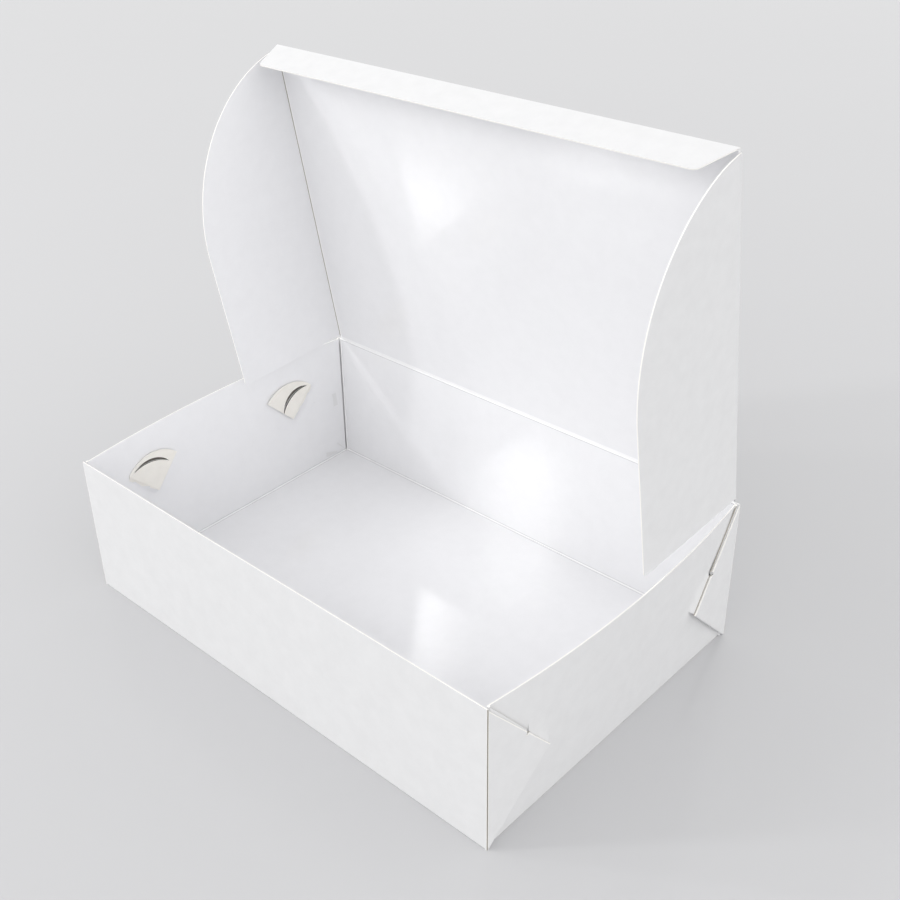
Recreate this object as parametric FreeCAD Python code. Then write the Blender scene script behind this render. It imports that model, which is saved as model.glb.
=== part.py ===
import FreeCAD, Part
import math
import os

# One-piece folded board box with a hinged lid, standing open, in millimetres.
# X runs along the front wall, Y from front to back, Z up.
# The origin is the centre of the base's underside.

# Board
board = 0.5
layer_gap = 0.15

# Tray
tray_width = 228.0
tray_depth = 156.0
tray_height = 67.0
side_bow = 5.5
fold_radius = 0.45
corner_slit = 0.65

# Ribs that the scoring raises along the inside of the folds
corner_rib_radius = 0.45
flat_rib_radius = 0.35
rib_seat = 0.1

# Lid and its flaps
hinge_gap = 0.4
flap_clearance = 0.3
lid_lean = 10.0
tuck_depth = 17.0
tuck_end_taper = 6.0
tuck_corner_radius = 3.0
tuck_fold = 94.0
side_flap_depth = 63.0
side_flap_slant = 8.0
side_flap_foot = 1.6
side_flap_straight = 80.0
side_flap_end_gap = 1.5
side_flap_corner_radius = 2.0

# Web corners: the gusset folded flat outside each side wall, and its lock
gusset_reach = 31.0
gusset_lean = 5.2
notch_share = 0.66
notch_width = 2.2
notch_depth = 1.6
groove_mouth = 0.3
groove_depth = 0.42
lock_corner_inset = 35.5
lock_corner_height = 34.5
lock_radius = 19.8
lock_lift_at_arc = 0.35
lock_lift_at_corner = 1.05
lock_slit_depth = 0.15
lock_seat = 0.5
front_gap_width = 1.6
rear_gap_width = 2.2
front_gap_radii = (18.4, 16.2, 14.7)
rear_gap_radii = (18.4, 12.4, 7.2)
front_gap_angles = (128.0, 88.0, 52.0)
rear_gap_angles = (128.0, 88.0, 42.0)

half_width = tray_width / 2
half_depth = tray_depth / 2
vector = FreeCAD.Vector
x_axis = vector(1, 0, 0)
z_axis = vector(0, 0, 1)

# The gusset's two layers lie outside the side wall, so the end walls reach past it
gusset_stack = 2 * (board + layer_gap)
end_wall_half = half_width + gusset_stack
inner_half_width = half_width - board
inner_half_depth = half_depth - board

# Each side wall turns back into its gusset round a nose, just clear of the end wall
nose_radius = board + layer_gap / 2
nose_inset = board + corner_slit + nose_radius
side_wall_half = half_depth - nose_inset

# The lid's plane and its hinge line, seen with the lid upright
hinge_y = half_depth - board / 2
hinge_z = tray_height + hinge_gap
hinge_point = vector(0, hinge_y, hinge_z)
side_crease = half_width - board - flap_clearance - board / 2
lid_half_width = side_crease - hinge_gap
tuck_crease = hinge_y + half_depth - board - flap_clearance - board / 2
lid_length = tuck_crease - hinge_gap


def closed_wire(points):
    """A closed outline of straight edges."""
    return Part.makePolygon(points + [points[0]])


def sheet(outline, direction, thickness=board):
    """Board of the given outline, half its thickness to each side."""
    face = Part.Face(outline)
    face.translate(direction * (-thickness / 2))
    return face.extrude(direction * thickness)


def bowed_out(along, height):
    """How far a side wall stands out, at a distance from a corner and a height."""
    share = (along - nose_inset) / (2 * side_wall_half)
    rise = (height - fold_radius) / (tray_height - fold_radius)
    return side_bow * 4 * share * (1 - share) * rise


def bowed_edge(x_at_end, x_at_middle, height):
    """The curved top edge of a side wall."""
    start = vector(x_at_end, -side_wall_half, height)
    middle = vector(x_at_middle, 0, height)
    end = vector(x_at_end, side_wall_half, height)
    if abs(x_at_middle - x_at_end) < 1e-6:
        return Part.makeLine(start, end)
    return Part.Arc(start, middle, end).toShape()


def rolled(board_solid, is_outer_foot):
    """A solid with the outer edges of its foot rounded by the fold into the base."""
    foot = [edge for edge in board_solid.Edges if is_outer_foot(edge.BoundBox)]
    return board_solid.makeFillet(fold_radius, foot)


def base_panel():
    """The base, with the folds into both side walls rounded."""
    panel = Part.makeBox(tray_width, tray_depth - 2 * fold_radius, board)
    panel.translate(vector(-half_width, fold_radius - half_depth, 0))
    return rolled(panel, lambda box: box.ZMax < board / 2 and box.XLength < board)


def side_wall():
    """The right wall, above its fold: straight at the base, and bowed out at its top."""
    inner = inner_half_width
    rows = []
    for height, bow in ((fold_radius, 0), (tray_height, side_bow)):
        ends = [
            Part.makeLine(vector(half_width, y, height), vector(inner, y, height))
            for y in (-side_wall_half, side_wall_half)
        ]
        sides = [bowed_edge(half_width, half_width + bow, height), bowed_edge(inner, inner + bow, height)]
        rows.append(Part.Wire(Part.__sortEdges__(sides + ends)))
    return Part.makeLoft(rows, True, True)


def rib(start, end, radius):
    """A raised line along the inside of a fold."""
    return Part.makeCylinder(radius, (end - start).Length, start, end - start)


def tray_ribs():
    """Ribs where the base meets the walls, and beside the slits in the inner corners."""
    seat = inner_half_depth - rib_seat
    low = board + rib_seat
    right = inner_half_width - rib_seat
    beside = inner_half_width - flat_rib_radius
    face = inner_half_depth + rib_seat
    shapes = []
    for sign in (-1, 1):
        across = [vector(x, sign * seat, low) for x in (-inner_half_width, inner_half_width)]
        shapes.append(rib(across[0], across[1], corner_rib_radius))
        along = [vector(sign * right, y, low) for y in (-side_wall_half, side_wall_half)]
        shapes.append(rib(along[0], along[1], corner_rib_radius))
        for end in (-1, 1):
            foot = vector(sign * beside, end * face, board)
            shapes.append(rib(foot, foot + z_axis * (tray_height - 2 * board), flat_rib_radius))
    height = tray_height - flat_rib_radius
    hinge_line = [vector(x, face, height) for x in (-beside, beside)]
    shapes.append(rib(hinge_line[0], hinge_line[1], flat_rib_radius))
    return shapes


def end_wall():
    """The front wall, flat, and wide enough to reach past both side walls' gussets."""
    wall = Part.makeBox(2 * end_wall_half, board, tray_height)
    wall.translate(vector(-end_wall_half, -half_depth, 0))
    return rolled(wall, lambda box: box.ZMax < board / 2 and box.YMax < board / 2 - half_depth)


def gusset_point(along, height, out):
    """A point beside the front right corner, out from the corner's own plane."""
    lean = along * math.tan(math.radians(gusset_lean))
    return vector(half_width + out + lean, -half_depth + along, height)


def gusset_edge(start):
    """The free edge of a gusset layer that starts this far from the corner: its top, notch and apex."""
    top = vector(start, tray_height, 0)
    apex = vector(gusset_reach, gusset_reach, 0)
    return top, top + (apex - top) * notch_share, apex


def gusset_layer(start, out):
    """One layer of the folded corner: from its wall's edge to the diagonal fold."""
    top, notch, apex = gusset_edge(start)
    along = (apex - top).normalize()
    inward = vector(along.y, -along.x, 0)
    before = notch - along * notch_width
    dip = notch - along * (notch_width / 2) + inward * notch_depth
    corners = [vector(start, start, 0), top, before, dip, notch, apex]
    outline = closed_wire([gusset_point(c.x, c.y, out) for c in corners])
    normal = Part.Face(outline).normalAt(0, 0)
    if normal.x < 0:
        normal = normal * -1
    return Part.Face(outline).extrude(normal * board)


def gusset():
    """The side wall's layer with its nose, the end wall's layer, and the diagonal fold that joins them."""
    inner = gusset_layer(nose_inset, layer_gap)
    outer = gusset_layer(0, layer_gap + board + layer_gap)
    nose = Part.makeCylinder(nose_radius, tray_height, vector(half_width + layer_gap / 2, -side_wall_half, 0))
    fold_out = gusset_stack / 2 + layer_gap / 2
    foot = gusset_point(0, 0, fold_out)
    apex = gusset_point(gusset_reach, gusset_reach, fold_out)
    fold = Part.makeCylinder((gusset_stack - layer_gap) / 2, (apex - foot).Length, foot, apex - foot)
    room = Part.makeBox(2 * gusset_reach, 2 * gusset_reach, tray_height)
    room.translate(vector(half_width, -half_depth, 0))
    return inner.fuse([outer, fold]).common(room).fuse(nose)


def wall_frame():
    """Origin and directions of the side wall's inner face at the lock's corner."""
    along, height = lock_corner_inset, lock_corner_height
    step = 1.0

    def surface(a, h):
        return vector(half_width - board + bowed_out(a, h), -half_depth + a, h)

    origin = surface(along, height)
    right = (surface(along + step, height) - origin).normalize()
    up = (surface(along, height + step) - origin).normalize()
    return origin, right, up, up.cross(right)


def lock_tongue():
    """The tongue inside the wall: a quarter disc."""
    origin, right, up, inward = wall_frame()

    def at(radius, degrees, lift):
        angle = math.radians(degrees)
        flat = right * (radius * math.cos(angle)) + up * (radius * math.sin(angle))
        return origin + flat + inward * lift

    def lift_at(radius, degrees):
        rise = radius * math.sin(math.radians(degrees)) / lock_radius
        return lock_lift_at_corner + (lock_lift_at_arc - lock_lift_at_corner) * rise

    def on(radius, degrees):
        return at(radius, degrees, lift_at(radius, degrees))

    corner, left, top, far = on(0, 90), on(lock_radius, 135), on(lock_radius, 90), on(lock_radius, 45)
    plane = (left - corner).cross(far - corner).normalize()
    if plane.x > 0:
        plane = plane * -1
    outline = Part.Wire([
        Part.makeLine(corner, left),
        Part.Arc(left, top, far).toShape(),
        Part.makeLine(far, corner),
    ])
    return Part.Face(outline).extrude(plane * board)


def lock_slit(radii, angles, width):
    """The curved slit that splits the tongue, cut on into the wall behind it."""
    origin, right, up, inward = wall_frame()
    line = []
    for radius, degrees in zip(radii, angles):
        angle = math.radians(degrees)
        flat = right * (radius * math.cos(angle)) + up * (radius * math.sin(angle))
        line.append(origin + flat - inward * lock_slit_depth)
    across = (line[2] - line[0]).cross(inward).normalize() * (width / 2)
    first = Part.Arc(line[0], line[1] + across, line[2]).toShape()
    second = Part.Arc(line[2], line[1] - across, line[0]).toShape()
    through = lock_slit_depth + lock_lift_at_corner + 2 * board
    return Part.Face(Part.Wire([first, second])).extrude(inward * through)


def lock_root():
    """The neck of the tongue: it leaves the gusset's edge and passes through the wall."""
    top, notch, apex = gusset_edge(nose_inset)
    along = (apex - top).normalize()
    inset = vector(along.y, -along.x, 0) * lock_seat
    outer_notch, outer_apex = [
        gusset_point(p.x, p.y, layer_gap + board - lock_seat / 4) for p in (notch + inset, apex + inset)
    ]
    origin, right, up, inward = wall_frame()
    seat = (up + right).normalize() * lock_seat
    left_lift = lock_lift_at_corner + (lock_lift_at_arc - lock_lift_at_corner) * math.sin(math.radians(135))
    inner_corner = origin + seat + inward * lock_lift_at_corner
    inner_left = origin + (up - right).normalize() * lock_radius + seat + inward * left_lift
    halves = [
        Part.Face(closed_wire(points)).extrude(x_axis * -board)
        for points in ([outer_notch, outer_apex, inner_corner], [outer_notch, inner_corner, inner_left])
    ]
    return halves[0].fuse(halves[1])


def corner_groove():
    """The half-cut fold down the outer corner, open where the board turns."""
    profile = closed_wire([
        vector(end_wall_half + board, -half_depth - board, -board),
        vector(end_wall_half - groove_mouth, -half_depth, -board),
        vector(end_wall_half - groove_depth, -half_depth + groove_depth, -board),
        vector(end_wall_half, -half_depth + groove_mouth, -board),
    ])
    return Part.Face(profile).extrude(z_axis * (tray_height + 2 * board))


def mirrored(shape, side, end):
    """The front right corner's shape, turned to another corner."""
    if side < 0:
        shape = shape.mirror(vector(0, 0, 0), x_axis)
    if end > 0:
        shape = shape.mirror(vector(0, 0, 0), vector(0, 1, 0))
    return shape


def tray():
    """Base, four walls and four locked web corners, folded from one sheet."""
    front = end_wall()
    right = side_wall()
    back = front.mirror(vector(0, 0, 0), vector(0, 1, 0))
    left = right.mirror(vector(0, 0, 0), x_axis)
    corners = [(side, end) for side in (-1, 1) for end in (-1, 1)]
    pieces = [right, left, front, back] + tray_ribs()
    for side, end in corners:
        pieces += [mirrored(shape, side, end) for shape in (gusset(), lock_root(), lock_tongue())]
    body = base_panel().fuse(pieces)
    slits = {
        -1: lock_slit(front_gap_radii, front_gap_angles, front_gap_width),
        1: lock_slit(rear_gap_radii, rear_gap_angles, rear_gap_width),
    }
    for side, end in corners:
        body = body.cut(mirrored(slits[end], side, end)).cut(mirrored(corner_groove(), side, end))
    return body


def leaned(shape):
    """From upright to the lid's place at rest, leaning over the tray."""
    shape = shape.copy()
    shape.rotate(hinge_point, x_axis, lid_lean)
    return shape


def lid_panel():
    """The lid, from the hinge crease to the tuck flap's crease, with a rib along each flap's fold."""
    panel = Part.makeBox(2 * lid_half_width, board, lid_length)
    panel.translate(vector(-lid_half_width, hinge_y - board / 2, hinge_z))
    face = hinge_y - board / 2 + rib_seat
    side = lid_half_width - flat_rib_radius
    height = hinge_z + lid_length - flat_rib_radius
    foot = hinge_z + 3 * flat_rib_radius
    ribs = [rib(vector(x, face, foot), vector(x, face, height), flat_rib_radius) for x in (-side, side)]
    ribs.append(rib(vector(-side, face, height), vector(side, face, height), flat_rib_radius))
    return leaned(panel.fuse(ribs))


def rounded(points, radius, corner):
    """Two tangent points and the mid point of an arc at a corner of an outline."""
    here = points[corner]
    before = (points[corner - 1] - here).normalize()
    after = (points[(corner + 1) % len(points)] - here).normalize()
    half = before.getAngle(after) / 2
    reach = radius / math.tan(half)
    centre = here + (before + after).normalize() * (radius / math.sin(half))
    middle = centre + (here - centre).normalize() * radius
    return here + before * reach, middle, here + after * reach


def side_flap(side):
    """A lid flap folded square to the lid: slanted foot, straight front and an elliptic shoulder."""
    x = side * side_crease

    def at(up, forward):
        return vector(x, hinge_y - forward, hinge_z + up)

    foot_rise = side_flap_depth * math.tan(math.radians(side_flap_slant))
    end = tuck_crease - side_flap_end_gap
    heel = at(side_flap_foot, 0)
    toe = at(side_flap_foot + foot_rise, side_flap_depth)
    shoulder = at(side_flap_straight, side_flap_depth)
    tip = at(end, 0)
    arc_start, arc_middle, arc_end = rounded([heel, toe, shoulder], side_flap_corner_radius, 1)
    ends = [shoulder, tip] if end - side_flap_straight < side_flap_depth else [tip, shoulder]
    curve = Part.Ellipse(ends[0], ends[1], at(side_flap_straight, 0)).toShape().Curve
    first, last = curve.parameter(shoulder), curve.parameter(tip)
    quarter = Part.Edge(curve, min(first, last), max(first, last))
    outline = Part.Wire(Part.__sortEdges__([
        Part.makeLine(heel, arc_start),
        Part.Arc(arc_start, arc_middle, arc_end).toShape(),
        Part.makeLine(arc_end, shoulder),
        quarter,
        Part.makeLine(tip, heel),
    ]))
    return leaned(sheet(outline, x_axis))


def tuck_flap():
    """The tuck flap at the lid's front crease, with slanted ends and rounded corners."""
    fold = math.radians(tuck_fold)
    root = vector(0, hinge_y, hinge_z + tuck_crease)
    out = vector(0, -math.sin(fold), math.cos(fold))
    half = lid_half_width
    corners = [
        root + x_axis * -half,
        root + x_axis * half,
        root + x_axis * (half - tuck_end_taper) + out * tuck_depth,
        root + x_axis * (tuck_end_taper - half) + out * tuck_depth,
    ]
    first = rounded(corners, tuck_corner_radius, 2)
    second = rounded(corners, tuck_corner_radius, 3)
    outline = Part.Wire([
        Part.makeLine(corners[0], corners[1]),
        Part.makeLine(corners[1], first[0]),
        Part.Arc(*first).toShape(),
        Part.makeLine(first[2], second[0]),
        Part.Arc(*second).toShape(),
        Part.makeLine(second[2], corners[0]),
    ])
    return leaned(sheet(outline, x_axis.cross(out)))


os.makedirs("parts", exist_ok=True)
nodes = {
    "tray": tray(),
    "lid_panel": lid_panel(),
    "tuck_flap": tuck_flap(),
    "left_side_flap": side_flap(-1),
    "right_side_flap": side_flap(1),
}
for name, shape in nodes.items():
    box = shape.BoundBox
    print(name, "solids", len(shape.Solids), "valid", shape.isValid(), "volume", round(shape.Volume, 1),
          "box", [round(v, 2) for v in (box.XMin, box.YMin, box.ZMin, box.XMax, box.YMax, box.ZMax)])
    shape.exportStep("parts/" + name + ".step")
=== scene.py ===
import math

import bmesh
import bpy
from mathutils import Matrix, Vector, noise


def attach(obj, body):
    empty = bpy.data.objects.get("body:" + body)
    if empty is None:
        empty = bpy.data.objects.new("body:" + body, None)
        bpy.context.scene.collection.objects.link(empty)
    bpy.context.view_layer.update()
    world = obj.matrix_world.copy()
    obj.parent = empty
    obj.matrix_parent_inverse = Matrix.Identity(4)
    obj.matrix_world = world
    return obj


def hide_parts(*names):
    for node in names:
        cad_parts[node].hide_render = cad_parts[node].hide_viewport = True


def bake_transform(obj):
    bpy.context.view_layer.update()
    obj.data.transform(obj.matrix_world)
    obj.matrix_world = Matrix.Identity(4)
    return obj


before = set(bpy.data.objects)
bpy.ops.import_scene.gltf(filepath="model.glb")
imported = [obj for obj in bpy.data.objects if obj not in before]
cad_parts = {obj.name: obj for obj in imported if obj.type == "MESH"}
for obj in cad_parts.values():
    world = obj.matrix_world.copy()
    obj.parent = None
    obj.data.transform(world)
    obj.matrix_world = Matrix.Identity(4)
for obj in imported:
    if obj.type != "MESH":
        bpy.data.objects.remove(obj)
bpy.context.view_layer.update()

# Driving sizes of the box, in metres, as in the part's source
MM = 0.001
BOARD = 0.5 * MM
LAYER_GAP = 0.15 * MM
HALF_WIDTH = 114.0 * MM
HALF_DEPTH = 78.0 * MM
WALL_TOP = 67.0 * MM
SIDE_BOW = 5.5 * MM
BASE_FOLD = 0.45 * MM
CORNER_SLIT = 0.65 * MM
CREASE_GAP = 0.4 * MM
FLAP_CLEARANCE = 0.3 * MM
FLAP_DEPTH = 63.0 * MM
LEAN = math.radians(10.0)
TUCK_FOLD = math.radians(94.0)

# Pressed ribs along the folds, painted lighter as a highlight, and the widths of the flat strips beside them,
# painted darker as shade
RIB_SEAT = 0.1 * MM
CORNER_RIB = 0.45 * MM
FLAT_RIB = 0.35 * MM
RIB_MARGIN = 0.02 * MM
BASE_SHADE_WIDTH = 0.8 * MM
HINGE_SHADE_WIDTH = 0.7 * MM

# Web corners and their locks. A span is a range of degrees about the lock's corner.
# Each slit is three points as radius and angle, and its width
GUSSET_REACH = 31.0 * MM
GUSSET_SLOPE = math.tan(math.radians(5.2))
GROOVE = 0.45 * MM
LOCK_ALONG = 35.5 * MM
LOCK_HEIGHT = 34.5 * MM
LOCK_RADIUS = 19.8 * MM
LOCK_SPAN = (40, 140)
SLIT_SPAN = (46, 131)
FRONT_SLIT = ((18.4 * MM, 128.0), (16.2 * MM, 88.0), (14.7 * MM, 52.0)), 1.6 * MM
REAR_SLIT = ((18.4 * MM, 128.0), (12.4 * MM, 88.0), (7.2 * MM, 42.0)), 2.2 * MM

# Places that follow from these
GUSSET_STACK = 2 * (BOARD + LAYER_GAP)
END_WALL_HALF = HALF_WIDTH + GUSSET_STACK
SIDE_WALL_HALF = HALF_DEPTH - (2 * BOARD + CORNER_SLIT + LAYER_GAP / 2)
GUSSET_EDGE = Vector((WALL_TOP - GUSSET_REACH, GUSSET_REACH)).normalized()
RIB_X = HALF_WIDTH - BOARD - RIB_SEAT
RIB_Y = HALF_DEPTH - BOARD - RIB_SEAT
RIB_Z = BOARD + RIB_SEAT
HINGE_RIB_Y = HALF_DEPTH - BOARD + RIB_SEAT
HINGE_RIB_Z = WALL_TOP - FLAT_RIB
HINGE_Y = HALF_DEPTH - BOARD / 2
HINGE_Z = WALL_TOP + CREASE_GAP
HINGE = Vector((0.0, HINGE_Y, HINGE_Z))
SIDE_CREASE = HALF_WIDTH - 1.5 * BOARD - FLAP_CLEARANCE
LID_HALF = SIDE_CREASE - CREASE_GAP
TUCK_CREASE = HINGE_Y + HALF_DEPTH - 1.5 * BOARD - FLAP_CLEARANCE

# The lid leans back about its hinge. UPRIGHT stands it up and LEANED puts it back
UPRIGHT = Matrix.Translation(HINGE) @ Matrix.Rotation(-LEAN, 4, "X") @ Matrix.Translation(-HINGE)
LEANED = UPRIGHT.inverted()
TURN = LEANED.to_3x3()
UP = TURN @ Vector((0, 0, 1))
OUTWARD = TURN @ Vector((0, 1, 0))
ALONG_X = Vector((1, 0, 0))

# A face counts as facing a way when its normal points there this much
FACING = 0.9
TILTED = 0.1
SHARP_EDGE = math.radians(28)
SHARP_STRIP = math.radians(40)

# Waves of the board: height and length
LID_RIPPLE, LID_RIPPLE_SIZE = 0.55 * MM, 0.07
LID_BULGE = 0.35 * MM
FLAP_RIPPLE, FLAP_RIPPLE_SIZE = 0.25 * MM, 0.05
WALL_RIPPLE, WALL_RIPPLE_SIZE = 0.25 * MM, 0.08
BASE_RIPPLE, BASE_RIPPLE_SIZE = 0.14 * MM, 0.08
FADE = 30 * MM
BASE_MARGIN = 6 * MM

# The bent strips that close the folds
STRIP_RISE = 0.015 * MM
STRIP_SINK = 0.03 * MM
STRIP_BEND = 0.15 * MM
STRIP_SHOULDER = 0.8
STRIP_STEPS = 8
STRIP_RING = 4 * MM


# Materials

def new_material(name):
    """An empty material with one Principled shader."""
    made = bpy.data.materials.new(name)
    made.use_nodes = True
    tree = made.node_tree
    tree.nodes.clear()
    shader = tree.nodes.new("ShaderNodeBsdfPrincipled")
    out = tree.nodes.new("ShaderNodeOutputMaterial")
    tree.links.new(shader.outputs[0], out.inputs["Surface"])
    return made, tree, shader


def noise_node(tree, coords, scale, detail, rough=0.5, distortion=0.0):
    """Noise over the piece, from 0 to 1."""
    node = tree.nodes.new("ShaderNodeTexNoise")
    node.inputs["Scale"].default_value = scale
    node.inputs["Detail"].default_value = detail
    node.inputs["Roughness"].default_value = rough
    node.inputs["Distortion"].default_value = distortion
    tree.links.new(coords, node.inputs["Vector"])
    return node.outputs["Fac"]


def ramp(tree, value, stops):
    """Colours blended over a value, from (place, colour) stops."""
    node = tree.nodes.new("ShaderNodeValToRGB")
    while len(node.color_ramp.elements) < len(stops):
        node.color_ramp.elements.new(0.5)
    for element, (place, colour) in zip(node.color_ramp.elements, stops):
        element.position = place
        element.color = (*colour, 1.0)
    tree.links.new(value, node.inputs["Fac"])
    return node.outputs["Color"]


def two_tone(tree, value, dark, light, reach):
    """A ramp from dark to light, centred on a half and reaching this far to each side of it."""
    middle = tuple((a + b) / 2 for a, b in zip(dark, light))
    return ramp(tree, value, [(0.5 - reach, dark), (0.5, middle), (0.5 + reach, light)])


def spread(tree, value, low, high):
    """Noise, which keeps near a half, spread over a range of values."""
    node = tree.nodes.new("ShaderNodeMapRange")
    node.inputs["From Min"].default_value = 0.3
    node.inputs["From Max"].default_value = 0.7
    node.inputs["To Min"].default_value = low
    node.inputs["To Max"].default_value = high
    tree.links.new(value, node.inputs["Value"])
    return node.outputs["Result"]


def bump(tree, height, distance, below=None):
    """A bumped normal, laid over the one below if there is one."""
    node = tree.nodes.new("ShaderNodeBump")
    node.inputs["Distance"].default_value = distance
    node.inputs["Strength"].default_value = 1.0
    tree.links.new(height, node.inputs["Height"])
    if below is not None:
        tree.links.new(below, node.inputs["Normal"])
    return node.outputs["Normal"]


def board(name, dark, light, rough, coat, coat_rough, fibre, ripple):
    """White food board: cloudy formation, fine fibres, and slow ripples that break up reflections."""
    made, tree, shader = new_material(name)
    coords = tree.nodes.new("ShaderNodeTexCoord").outputs["Object"]
    cloud = noise_node(tree, coords, 160.0, 4.0, 0.6)
    tree.links.new(two_tone(tree, cloud, dark, light, 0.2), shader.inputs["Base Color"])
    grain = noise_node(tree, coords, 2600.0, 3.0, 0.7)
    tree.links.new(spread(tree, grain, rough - 0.05, rough + 0.05), shader.inputs["Roughness"])
    slow = noise_node(tree, coords, 26.0, 1.0, 0.4)
    normal = bump(tree, grain, fibre, bump(tree, slow, ripple))
    tree.links.new(normal, shader.inputs["Normal"])
    shader.inputs["IOR"].default_value = 1.5
    shader.inputs["Coat Weight"].default_value = coat
    shader.inputs["Coat Roughness"].default_value = coat_rough
    shader.inputs["Coat IOR"].default_value = 1.8
    if coat:
        tree.links.new(bump(tree, slow, ripple), shader.inputs["Coat Normal"])
    return made


def cut_edge(name, dark, light):
    """The cream core of the board where it is cut: plies and fibre ends. In dark tones it also paints shade
    into the locks' slits and the grooves.
    """
    made, tree, shader = new_material(name)
    coords = tree.nodes.new("ShaderNodeTexCoord").outputs["Object"]
    fibre = noise_node(tree, coords, 4200.0, 5.0, 0.75, 0.6)
    tree.links.new(two_tone(tree, fibre, dark, light, 0.18), shader.inputs["Base Color"])
    tree.links.new(bump(tree, fibre, 0.00004), shader.inputs["Normal"])
    shader.inputs["Roughness"].default_value = 0.85
    return made


MATERIALS = [
    board("board_outside", (0.725, 0.725, 0.73), (0.755, 0.755, 0.76), 0.6, 0.0, 0.3, 0.00001, 0.00004),
    board("board_inside", (0.865, 0.865, 0.88), (0.885, 0.885, 0.90), 0.4, 0.9, 0.1, 0.000003, 0.00006),
    board("tongue_board", (0.87, 0.845, 0.79), (0.92, 0.895, 0.84), 0.7, 0.0, 0.3, 0.00002, 0.00004),
    cut_edge("cut_edge", (0.87, 0.85, 0.81), (0.96, 0.95, 0.925)),
    # Painted highlight: a lighter copy of the inside board on the ribs along the folds, for the light they
    # catch
    board("crease", (0.955, 0.955, 0.96), (0.975, 0.975, 0.98), 0.45, 0.9, 0.2, 0.00001, 0.00002),
    # Painted shade: a darker copy of the inside board on the strips beside the ribs
    board("painted_crease_shade", (0.66, 0.66, 0.675), (0.72, 0.72, 0.735), 0.4, 0.9, 0.12, 0.000003, 0.00006),
    # Painted shade: near-black on the sides of the slits through the locks' tongues and on the wall seen
    # through them
    cut_edge("slit_shade", (0.10, 0.09, 0.08), (0.22, 0.20, 0.175)),
    # Painted shade: dark in the corner grooves, in the gussets' gap between layers and in the inner corner of
    # the side flaps' creases
    cut_edge("painted_groove_shade", (0.36, 0.335, 0.29), (0.52, 0.49, 0.44)),
]
OUT, IN, TONGUE, EDGE, CREASE_HIGHLIGHT, CREASE_SHADE, SLIT_SHADE, GROOVE_SHADE = range(len(MATERIALS))


# Which material a face of the tray takes

def bow_at(y):
    """How far the side wall's top stands out at this place along the wall."""
    radius = (SIDE_WALL_HALF ** 2 + SIDE_BOW ** 2) / (2 * SIDE_BOW)
    inside = max(radius ** 2 - min(abs(y), SIDE_WALL_HALF) ** 2, 0.0)
    return math.sqrt(inside) - (radius - SIDE_BOW)


def tray_crease(x, y, z):
    """The ribs inside the tray, along the folds, the corner slits and the hinge, painted lighter as a
    highlight, and the strips beside them, painted darker as shade.
    """
    depth = abs(y)
    from_base_rib = min(math.hypot(depth - RIB_Y, z - RIB_Z), math.hypot(x - RIB_X, z - RIB_Z))
    from_slit_rib = math.hypot(x - (HALF_WIDTH - BOARD - FLAT_RIB), depth - HINGE_RIB_Y)
    from_hinge_rib = math.hypot(y - HINGE_RIB_Y, z - HINGE_RIB_Z)
    if from_base_rib < CORNER_RIB + RIB_MARGIN or min(from_slit_rib, from_hinge_rib) < FLAT_RIB + RIB_MARGIN:
        return CREASE_HIGHLIGHT
    return CREASE_SHADE if from_base_rib < BASE_SHADE_WIDTH or (y > 0 and from_hinge_rib < HINGE_SHADE_WIDTH) else IN


def in_slit(slit, along, height):
    """True inside the outline of a lock's curved slit, seen square to the wall."""
    line, width = slit
    rim = 0.12 * MM
    start, middle, end = (
        Vector((radius * math.cos(math.radians(angle)), radius * math.sin(math.radians(angle)), 0))
        for radius, angle in line
    )
    first, second = middle - start, end - start
    normal = first.cross(second)
    to_centre = normal.cross(first) * second.length_squared + second.cross(normal) * first.length_squared
    centre = start + to_centre / (2 * normal.length_squared)
    here = Vector((along, height, 0)) - centre
    share = here.angle(middle - centre) / (middle - centre).angle(start - centre)
    from_line = abs(here.length - (middle - centre).length)
    return share < 1 and from_line < width / 2 * (1 - share ** 2) + rim


def lock_face(x, y, z, inner, outer, out):
    """The faces of the lock's tongue, and of the slit through it and into the wall, else None. The slit's
    faces are painted dark as shade.
    """
    along = HALF_DEPTH - abs(y) - LOCK_ALONG
    radius = math.hypot(along, z - LOCK_HEIGHT)
    angle = math.degrees(math.atan2(z - LOCK_HEIGHT, along))
    if radius > LOCK_RADIUS + 0.1 * MM or not LOCK_SPAN[0] < angle < LOCK_SPAN[1]:
        return None
    within_span = SLIT_SPAN[0] < angle < SLIT_SPAN[1] and radius < LOCK_RADIUS - BOARD
    slit_side = within_span and abs(out) < FACING
    on_tongue = x < inner - 0.2 * MM
    within_wall = x < outer - 0.1 * MM
    if within_wall and slit_side:
        return SLIT_SHADE
    if on_tongue:
        return TONGUE if abs(out) > FACING else EDGE
    on_wall_inside = out < -0.5 and inner - 0.06 * MM < x < outer - 0.1 * MM
    slit = REAR_SLIT if y > 0 else FRONT_SLIT
    return SLIT_SHADE if on_wall_inside and in_slit(slit, along, z - LOCK_HEIGHT) else None


def gusset_face(x, along, z, normal, out):
    """The gusset's two layers: cream on their free edges and the rolled fold, with painted shade in its
    half-cut groove.
    """
    layer = x - HALF_WIDTH - along * GUSSET_SLOPE
    # Up-facing edge faces behind the outer layer are painted dark as shade
    if abs(out) < 0.35 and normal.z > 0.2 and 6 * MM < z < WALL_TOP:
        return EDGE if layer > 0.72 * MM else GROOVE_SHADE
    from_fold = Vector((along, z - WALL_TOP)).dot(GUSSET_EDGE)
    return EDGE if layer > 1.2 * MM and out > FACING and from_fold > -0.4 * MM else OUT


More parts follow.
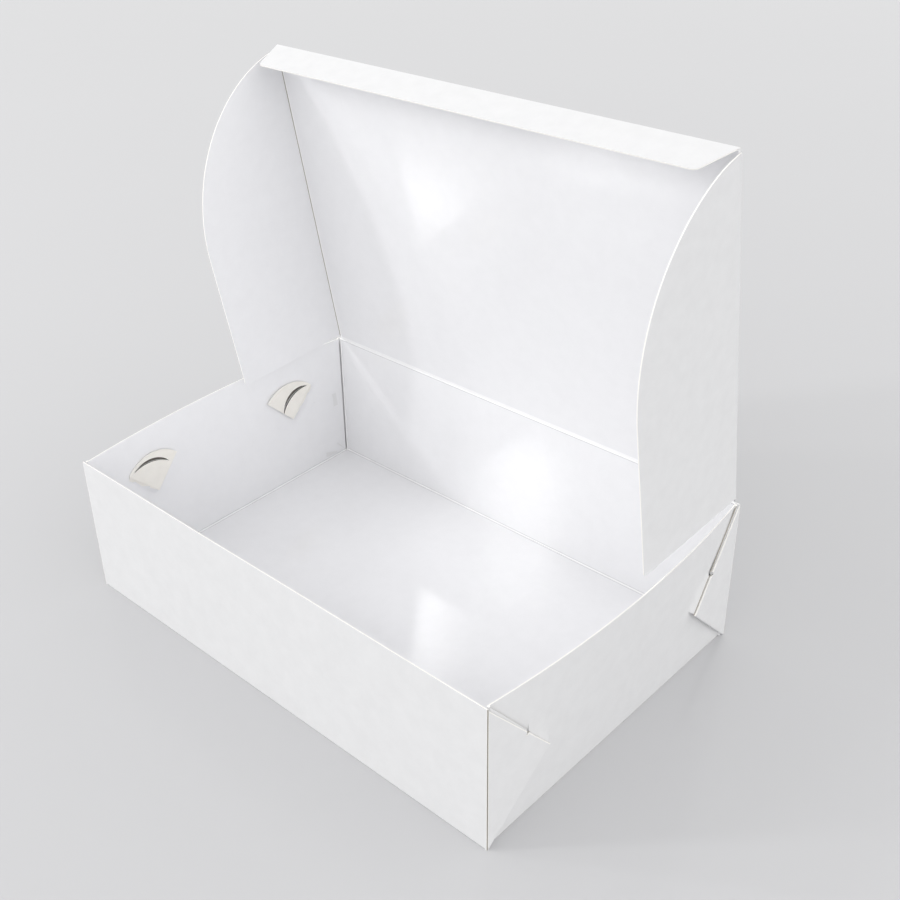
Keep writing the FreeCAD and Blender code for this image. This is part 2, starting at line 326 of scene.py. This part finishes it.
def tray_face(centre, normal):
    """Which side of the board a face of the tray shows."""
    x, y, z = abs(centre.x), centre.y, centre.z
    out = normal.x if centre.x > 0 else -normal.x
    bow = bow_at(y) * max(z - BASE_FOLD, 0.0) / (WALL_TOP - BASE_FOLD)
    inner, outer = HALF_WIDTH - BOARD + bow, HALF_WIDTH + bow
    along = HALF_DEPTH - abs(y)
    end_wall = 0.6 * MM
    locked = lock_face(x, y, z, inner, outer, out)
    if locked is not None:
        return locked
    if z > WALL_TOP - 0.05 * MM and normal.z > FACING:
        return OUT if y > HALF_DEPTH - end_wall and x < HALF_WIDTH else EDGE
    # In the corner groove the slanted faces are painted dark as shade
    if x > END_WALL_HALF - GROOVE and along < GROOVE and abs(normal.z) < TILTED:
        return GROOVE_SHADE if abs(normal.x) > TILTED and abs(normal.y) > TILTED else EDGE
    if x > outer + 0.05 * MM and along > end_wall:
        return gusset_face(x, along, z, normal, out)
    if z > BOARD - 0.02 * MM and x < inner + 0.03 * MM and along > BOARD - 0.03 * MM:
        return tray_crease(x, y, z)
    return OUT


def on_gusset(at):
    """True on the outer layer of the folded corners."""
    outside_wall = abs(at.x) > HALF_WIDTH + 0.75 * MM
    return outside_wall and HALF_DEPTH - abs(at.y) < GUSSET_REACH + 2 * MM and at.z > 28 * MM


# Which material a face of the lid and its flaps takes

def lid_face(centre, normal):
    """The lid: glossy towards the tray, with its ribs painted lighter as a highlight, and matt behind."""
    upright = UPRIGHT.to_3x3() @ normal
    at = UPRIGHT @ centre
    if at.y < HINGE_Y - BOARD / 2 - 0.01 * MM:
        side_rib = math.hypot(abs(at.x) - (LID_HALF - FLAT_RIB), at.y - HINGE_RIB_Y)
        top_rib = math.hypot(at.z - (HINGE_Z + TUCK_CREASE - CREASE_GAP - FLAT_RIB), at.y - HINGE_RIB_Y)
        return CREASE_HIGHLIGHT if min(side_rib, top_rib) < FLAT_RIB + RIB_MARGIN else IN
    return IN if upright.y < -0.2 else OUT


def panel_face(inward, backward):
    """A flap's face, by how much it faces the flap's glossy side and the lid's back."""
    if inward > 0.5:
        return IN
    return OUT if inward < -0.5 or backward > 0.5 else EDGE


def flap_face(centre, normal):
    """A side flap is glossy towards the other one."""
    upright = UPRIGHT.to_3x3() @ normal
    return panel_face(-upright.x if centre.x > 0 else upright.x, upright.y)


def tuck_face(centre, normal):
    """The tuck flap is glossy on its lower side."""
    upright = UPRIGHT.to_3x3() @ normal
    return panel_face(-upright.z, upright.y)


# Slow waves that take the panels off flat

def smooth(value):
    """Eases from 0 at 0 to 1 at 1."""
    value = min(max(value, 0.0), 1.0)
    return value * value * (3 - 2 * value)


def wave(point, size, seed):
    """Noise of this wavelength, from -1 to 1."""
    return noise.noise(Vector((point.x, point.y, point.z)) / size + Vector((seed, 3.7 * seed, 1.3)))


def no_wave(point):
    """The tuck flap is too narrow to ripple."""
    return None


def lid_wave(point):
    """The lid bulges a little towards its inside, and ripples, but is held along its folds."""
    at = UPRIGHT @ point
    up = (at.z - HINGE_Z) / TUCK_CREASE
    hold = smooth((1 - abs(at.x / LID_HALF)) * 5) * smooth(up * 6) * smooth((1 - up) * 8)
    bulge = LID_BULGE * math.sin(math.pi * min(max(up, 0), 1))
    return -OUTWARD * ((LID_RIPPLE * wave(point, LID_RIPPLE_SIZE, 2.0) + bulge) * hold)


def flap_wave(point):
    """A side flap ripples towards its free edge."""
    at = UPRIGHT @ point
    up = (at.z - HINGE_Z) / TUCK_CREASE
    hold = smooth((HINGE_Y - at.y) / FLAP_DEPTH * 3) * smooth(up * 3 + 0.2)
    inward = -1 if point.x > 0 else 1
    return Vector((inward, 0, 0)) * (FLAP_RIPPLE * wave(point, FLAP_RIPPLE_SIZE, 5.0) * hold)


def tray_wave(point):
    """The front and back wall and the base ripple, but are held along their folds and locks."""
    x, y, z = abs(point.x), point.y, point.z
    along = HALF_DEPTH - abs(y)
    if z > 3 * BOARD:
        if along > BOARD + 0.05 * MM or x > HALF_WIDTH - 3 * MM:
            return None
        rise = z / WALL_TOP
        hold = smooth((HALF_WIDTH - x) / FADE) * smooth(rise * 2.5)
        if y > 0:
            hold *= smooth((1 - rise) * 4)
        return Vector((0, 1, 0)) * (WALL_RIPPLE * wave(point, WALL_RIPPLE_SIZE, 7.0) * hold)
    inside = min(HALF_WIDTH - x, along) - BASE_MARGIN
    if inside < 0 or z < 0.2 * MM:
        return None
    hold = smooth((HALF_WIDTH - BASE_MARGIN - x) / FADE) * smooth((along - BASE_MARGIN) / FADE)
    return Vector((0, 0, 1)) * (BASE_RIPPLE * wave(point, BASE_RIPPLE_SIZE, 9.0) * hold)


# Pieces

def bisect(work, faces, place, across):
    """Cuts these faces of a mesh along a plane."""
    parts = {part for face in faces for part in (*face.verts, *face.edges)}
    bmesh.ops.bisect_plane(work, geom=[*faces, *parts], dist=1e-7, plane_co=place, plane_no=across)


def bisect_all(work, place, across):
    """Cuts the whole mesh along a plane."""
    geometry = work.verts[:] + work.edges[:] + work.faces[:]
    bmesh.ops.bisect_plane(work, geom=geometry, dist=1e-7, plane_co=place, plane_no=across)


def cut_finer(work, turn, step):
    """Cuts a mesh along evenly spaced planes across its own three directions."""
    for axis in range(3):
        direction = turn @ Vector([1 if i == axis else 0 for i in range(3)])
        reach = [direction.dot(vertex.co) for vertex in work.verts]
        low, high = min(reach), max(reach)
        count = int((high - low) / step)
        for k in range(1, count + 1):
            bisect_all(work, direction * (low + (high - low) * k / (count + 1)), direction)


def dress(name, sort, move, step, cuts=(), edge_cuts=()):
    """The visible board of one CAD node: the same solid, cut finer, waved a little, with its materials."""
    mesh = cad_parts[name].data.copy()
    mesh.name = name + "_board"
    mesh.materials.clear()
    for material in MATERIALS:
        mesh.materials.append(material)
    work = bmesh.new()
    work.from_mesh(mesh)
    bmesh.ops.remove_doubles(work, verts=work.verts, dist=1e-6)
    cut_finer(work, Matrix.Identity(3) if name == "tray" else TURN, step)
    for place in cuts:
        bisect_all(work, place, place.normalized())
    for place, across in edge_cuts:
        centres = [(face, face.calc_center_median()) for face in work.faces]
        bisect(work, [face for face, at in centres if on_gusset(at) and at.y * place.y > 0], place, across)
    bmesh.ops.triangulate(work, faces=[face for face in work.faces if len(face.verts) > 4])
    work.normal_update()
    for face in work.faces:
        face.material_index = sort(face.calc_center_median(), face.normal)
        face.smooth = True
    for edge in work.edges:
        edge.smooth = len(edge.link_faces) == 2 and edge.calc_face_angle(0) < SHARP_EDGE
    for vertex in work.verts:
        shift = move(vertex.co.copy())
        if shift is not None:
            vertex.co += shift
    work.to_mesh(mesh)
    work.free()
    if "custom_normal" in mesh.attributes:
        mesh.attributes.remove(mesh.attributes["custom_normal"])
    piece = bpy.data.objects.new(name + "_board", mesh)
    bpy.context.collection.objects.link(piece)
    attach(piece, name)
    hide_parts(name)


def tray_cuts():
    """Planes where the corner grooves and the strips of painted shade beside the ribs end."""
    sides = [(END_WALL_HALF - GROOVE, HALF_DEPTH - GROOVE), (RIB_X - BASE_SHADE_WIDTH, RIB_Y - BASE_SHADE_WIDTH)]
    cuts = [place for x, y in sides for place in (Vector((x, 0, 0)), Vector((0, y, 0)))]
    cuts += [-place for place in cuts]
    return cuts + [Vector((0, 0, RIB_Z + BASE_SHADE_WIDTH)), Vector((0, 0, HINGE_RIB_Z - HINGE_SHADE_WIDTH))]


def gusset_cuts():
    """Planes along the gussets' diagonal folds, where their cream edge ends."""
    cuts = []
    for end in (-1, 1):
        across = Vector((0, -end * GUSSET_EDGE.x, GUSSET_EDGE.y))
        cuts.append((Vector((0, end * HALF_DEPTH, WALL_TOP)) - across * 0.4 * MM, across))
    return cuts


def strip_outline(line, a, b, out_a, out_b, reach):
    """A fold strip's outline across the fold: the outer side, then the inner side with its pressed crease."""
    skin = BOARD / 2 + STRIP_RISE
    sunk = skin - STRIP_SINK
    axis = (line[1] - line[0]).normalized()
    angle = math.atan2(axis.dot(out_a.cross(out_b)), out_a.dot(out_b))
    outer = [a * reach + out_a * sunk, a * reach * STRIP_SHOULDER + out_a * skin]
    outer.append(a * STRIP_BEND + out_a * skin)
    for k in range(STRIP_STEPS + 1):
        outer.append(Matrix.Rotation(angle * k / STRIP_STEPS, 3, axis) @ out_a * skin)
    outer.append(b * STRIP_BEND + out_b * skin)
    outer += [b * reach * STRIP_SHOULDER + out_b * skin, b * reach + out_b * sunk]
    corner = (out_a + out_b) * (-skin / (1 + out_a.dot(out_b)))
    inner = [b * reach - out_b * sunk, b * reach * STRIP_SHOULDER - out_b * skin]
    inner += [corner + b * 0.45 * MM, corner + (a + b) * 0.03 * MM, corner + a * 0.12 * MM]
    inner += [a * reach * STRIP_SHOULDER - out_a * skin, a * reach - out_a * sunk]
    return outer, inner


def fold(name, line, a, b, out_a, out_b, reach, scored=False):
    """The bent board that joins two panels along their hinge line."""
    outer, inner = strip_outline(line, a, b, out_a, out_b, reach)
    outline = outer + inner
    size = len(outline)
    count = int((line[1] - line[0]).length / STRIP_RING) + 1
    work = bmesh.new()
    rings = []
    for k in range(count + 1):
        here = line[0].lerp(line[1], k / count)
        rings.append([work.verts.new(here + point) for point in outline])
    for one, two in zip(rings, rings[1:]):
        for i in range(size):
            face = work.faces.new((one[i], one[(i + 1) % size], two[(i + 1) % size], two[i]))
            # The inner faces of the strip are painted lighter as a highlight on the crease
            face.material_index = CREASE_HIGHLIGHT if len(outer) <= i < size - 1 else OUT
            # A scored crease gets one face of painted shade in its inner corner
            if scored and i == len(outer) + 2:
                face.material_index = GROOVE_SHADE
            face.smooth = True
    work.faces.new(list(reversed(rings[0])))
    work.faces.new(rings[-1])
    bmesh.ops.recalc_face_normals(work, faces=work.faces)
    for edge in work.edges:
        edge.smooth = edge.calc_face_angle(0) < SHARP_STRIP
    mesh = bpy.data.meshes.new(name)
    work.to_mesh(mesh)
    work.free()
    for material in MATERIALS:
        mesh.materials.append(material)
    piece = bpy.data.objects.new(name, mesh)
    bpy.context.collection.objects.link(piece)
    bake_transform(piece)


def lid_hinge_fold():
    """The crease between the back wall and the lid."""
    line = (HINGE - ALONG_X * LID_HALF, HINGE + ALONG_X * LID_HALF)
    down, back = Vector((0, 0, -1)), Vector((0, 1, 0))
    fold("lid_hinge_fold", line, down, UP, back, OUTWARD, 1.2 * MM)


def side_flap_fold(side, flap):
    """The scored crease between the lid and one side flap."""
    crease = HINGE + ALONG_X * side * SIDE_CREASE
    line = (crease + UP * 1.7 * MM, crease + UP * (TUCK_CREASE - 1.6 * MM))
    out = ALONG_X * side
    fold(flap + "_fold", line, -out, -OUTWARD, OUTWARD, out, 1.0 * MM, scored=True)


def tuck_flap_fold():
    """The crease between the lid and the tuck flap."""
    out_of_lid = TURN @ Vector((0, -math.sin(TUCK_FOLD), math.cos(TUCK_FOLD)))
    top = ALONG_X.cross(out_of_lid)
    if top.dot(UP) < 0:
        top = -top
    crest = HINGE + UP * TUCK_CREASE
    half = LID_HALF - 0.1 * MM
    line = (crest - ALONG_X * half, crest + ALONG_X * half)
    fold("tuck_flap_fold", line, -UP, out_of_lid, OUTWARD, top, 1.0 * MM)


# Stage

PHOTO_SIZE = 900
FOCAL_PIXELS = 1258
CENTRE_PIXELS = (380, 440)
CAMERA_PLACE = (0.3095, -0.3108, 0.3571)
AZIMUTH, ELEVATION, ROLL = (math.radians(angle) for angle in (45.67, 31.53, 2.757))
SENSOR = 36

# Each soft box: name, place, width and height, power
WINDOWS = [
    ("window_middle", (-0.93, -1.12, 1.05), (0.13, 0.28), 1.75),
    ("window_left", (-1.165, -0.875, 0.86), (0.09, 0.16), 1.75),
    ("window_low", (-1.03, -1.26, 0.824), (0.13, 0.17), 3.0),
]
AIM = Vector((0, 0, 0.08))

# The sky's brightness by height, from the horizon up, and how it leans to the front right
SKY = [(0.0, 1.165), (0.45, 1.36), (0.75, 1.24), (1.0, 0.70)]
SKY_LEAN = (0.20, -0.13, 0.0)
SKY_STRENGTH = 0.99


def camera():
    """The camera at the photograph's viewpoint."""
    ahead = math.cos(ELEVATION)
    forward = Vector((-math.sin(AZIMUTH) * ahead, math.cos(AZIMUTH) * ahead, -math.sin(ELEVATION)))
    level = forward.cross(Vector((0, 0, 1))).normalized()
    right = level * math.cos(ROLL) + forward.cross(level) * math.sin(ROLL)
    down = forward.cross(right)
    data = bpy.data.cameras.new("camera")
    data.sensor_width = SENSOR
    data.lens = FOCAL_PIXELS / PHOTO_SIZE * SENSOR
    data.shift_x = (PHOTO_SIZE / 2 - CENTRE_PIXELS[0]) / PHOTO_SIZE
    data.shift_y = (CENTRE_PIXELS[1] - PHOTO_SIZE / 2) / PHOTO_SIZE
    data.clip_start = 0.01
    eye = bpy.data.objects.new("camera", data)
    turn = Matrix((right, -down, -forward)).transposed().to_4x4()
    eye.matrix_world = Matrix.Translation(Vector(CAMERA_PLACE)) @ turn
    bpy.context.collection.objects.link(eye)
    bpy.context.scene.camera = eye


def window(name, place, size, power):
    """A soft box at a place, turned to the box."""
    away = (Vector(place) - AIM).normalized()
    data = bpy.data.lights.new(name, "AREA")
    data.shape = "RECTANGLE"
    data.size, data.size_y = size
    data.energy = power
    light = bpy.data.objects.new(name, data)
    turn = away.to_track_quat("Z", "Y").to_matrix().to_4x4()
    light.matrix_world = Matrix.Translation(Vector(place)) @ turn
    bpy.context.collection.objects.link(light)


def floor():
    """A plain pale floor, glossy enough to mirror the soft boxes."""
    mesh = bpy.data.meshes.new("floor")
    mesh.from_pydata([(-6, -6, 0), (6, -6, 0), (6, 6, 0), (-6, 6, 0)], [], [(0, 1, 2, 3)])
    made, tree, shader = new_material("floor")
    shader.inputs["Base Color"].default_value = (0.55, 0.55, 0.56, 1)
    shader.inputs["Roughness"].default_value = 0.16
    mesh.materials.append(made)
    ground = bpy.data.objects.new("floor", mesh)
    ground.location.z = -0.02 * MM
    bpy.context.collection.objects.link(ground)


def sky():
    """A soft sky, brightest at half height, and a little brighter towards the front right."""
    world = bpy.data.worlds.new("world")
    bpy.context.scene.world = world
    world.use_nodes = True
    tree = world.node_tree
    background = tree.nodes["Background"]
    direction = tree.nodes.new("ShaderNodeTexCoord").outputs["Generated"]
    place = tree.nodes.new("ShaderNodeSeparateXYZ")
    tree.links.new(direction, place.inputs[0])
    glow = ramp(tree, place.outputs["Z"], [(height, (value, value, value)) for height, value in SKY])
    tree.links.new(glow, background.inputs["Color"])
    lean = tree.nodes.new("ShaderNodeVectorMath")
    lean.operation = "DOT_PRODUCT"
    lean.inputs[1].default_value = SKY_LEAN
    tree.links.new(direction, lean.inputs[0])
    strength = tree.nodes.new("ShaderNodeMath")
    strength.operation = "ADD"
    strength.inputs[1].default_value = SKY_STRENGTH
    tree.links.new(lean.outputs["Value"], strength.inputs[0])
    tree.links.new(strength.outputs[0], background.inputs["Strength"])


dress("tray", tray_face, tray_wave, 8 * MM, tray_cuts(), gusset_cuts())
dress("lid_panel", lid_face, lid_wave, 6 * MM)
dress("tuck_flap", tuck_face, no_wave, 6 * MM)
dress("left_side_flap", flap_face, flap_wave, 6 * MM)
dress("right_side_flap", flap_face, flap_wave, 6 * MM)
lid_hinge_fold()
side_flap_fold(-1, "left_side_flap")
side_flap_fold(1, "right_side_flap")
tuck_flap_fold()

camera()
floor()
for soft_box in WINDOWS:
    window(*soft_box)
sky()
bpy.context.scene.view_settings.view_transform = "Standard"
